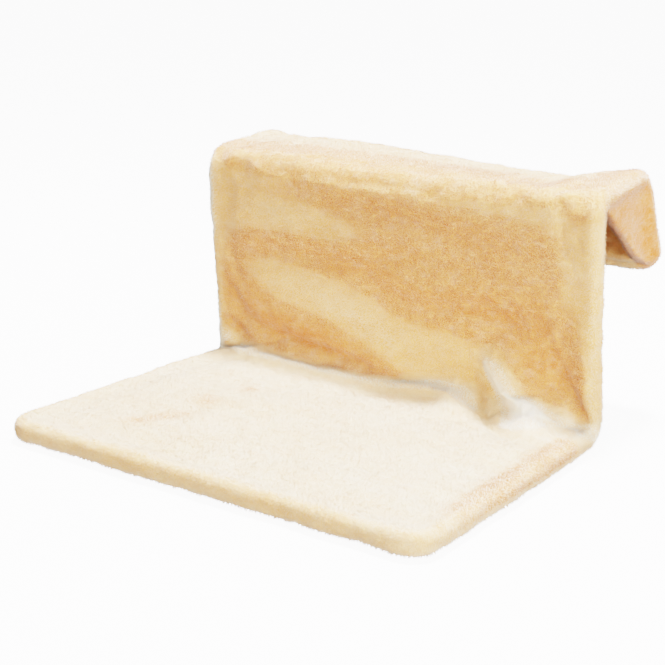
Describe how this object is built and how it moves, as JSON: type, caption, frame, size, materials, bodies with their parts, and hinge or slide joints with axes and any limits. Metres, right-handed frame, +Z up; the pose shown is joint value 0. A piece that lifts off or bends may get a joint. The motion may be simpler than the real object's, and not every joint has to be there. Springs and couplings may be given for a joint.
{
  "type": "radiator cat bed",
  "caption": "Plush cat bed that hooks over a radiator: a flat bed, an upright back, a top section and a rear hook, on a bent steel tube frame whose hook slides in depth.",
  "frame": {"origin": "middle of the bed's flat underside, on the plane it rests on", "axes": "+Z up, +X along the radiator to the right as seen from the front, -Y towards the bed's free front edge, +Y towards the radiator and the hook"},
  "size_m": [0.45, 0.4445, 0.2538],
  "materials": {
    "plush": "short cream and beige pile, soft sheen",
    "coated_tube": "light grey powder coat, satin",
    "zinc_plated": "bright zinc plate",
    "nylon": "black nylon, fine grain",
    "wadding": "white polyester wadding",
    "closure_tape": "beige hook-and-loop tape"
  },
  "bodies": {
    "bed_and_back": {"back_cover": "plush", "back_wadding": "wadding", "bed_cover": "plush", "bed_hoop_tube": "coated_tube", "bed_wadding": "wadding", "closure_hook_strip": "closure_tape", "closure_loop_strip": "closure_tape", "left_bed_joiner": "zinc_plated", "left_clamp_nut": "zinc_plated", "left_clamp_screw": "zinc_plated", "left_crossbar_insert": "zinc_plated", "left_crossbar_screw": "zinc_plated", "left_front_joiner_screw": "zinc_plated", "left_rear_joiner_screw": "zinc_plated", "left_side_tube": "coated_tube", "left_slide_bush": "nylon", "left_stop_pin": "zinc_plated", "right_bed_joiner": "zinc_plated", "right_clamp_nut": "zinc_plated", "right_clamp_screw": "zinc_plated", "right_crossbar_insert": "zinc_plated", "right_crossbar_screw": "zinc_plated", "right_front_joiner_screw": "zinc_plated", "right_rear_joiner_screw": "zinc_plated", "right_side_tube": "coated_tube", "right_slide_bush": "nylon", "right_stop_pin": "zinc_plated", "top_cover": "plush", "top_slack_cover": "plush", "upper_crossbar": "coated_tube"},
    "hook": {"hook_hoop_tube": "coated_tube", "left_rail_plug": "nylon", "right_rail_plug": "nylon", "hook_cover": "plush", "left_hook_web": "plush", "right_hook_web": "plush"}
  },
  "joints": [
    {"name": "hook_depth_slide", "type": "slide", "parent": "bed_and_back", "child": "hook", "axis": [0, 0.9945, 0.1045], "range_m": [0, 0.025], "deforming": ["top_slack_cover"]}
  ]
}
